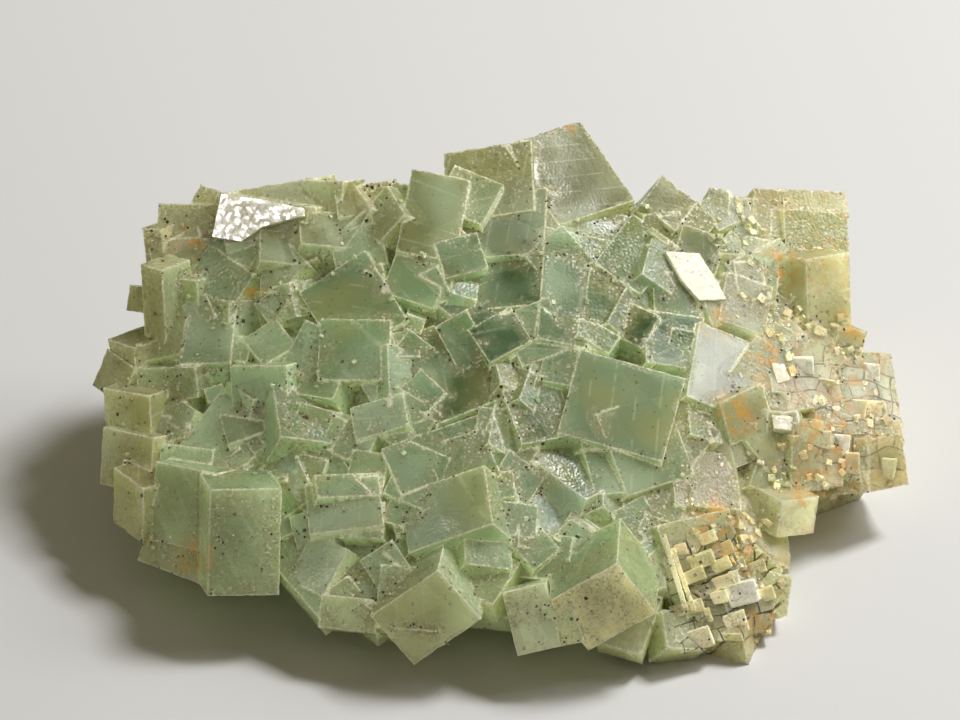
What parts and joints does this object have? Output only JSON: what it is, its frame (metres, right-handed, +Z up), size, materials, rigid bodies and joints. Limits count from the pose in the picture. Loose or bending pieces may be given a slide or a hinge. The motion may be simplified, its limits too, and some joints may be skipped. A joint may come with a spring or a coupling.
{
  "type": "fluorite crystal specimen",
  "caption": "Cluster of intergrown, half-clear pale green cubic crystals, broken off flat underneath so that it rests on a shelf.",
  "frame": {"origin": "middle of the bounding box at the height of the flat foot", "axes": "+X to the right as seen from the display side, +Y to the back, +Z up; the crystals' side faces -Y and up"},
  "size_m": [0.1644, 0.1114, 0.0628],
  "materials": {
    "fluorite": "frosty to glassy crystal faces, half clear, dusty brown in the hollows"
  },
  "bodies": {
    "root": {"fluorite_cluster": "fluorite"}
  },
  "joints": []
}
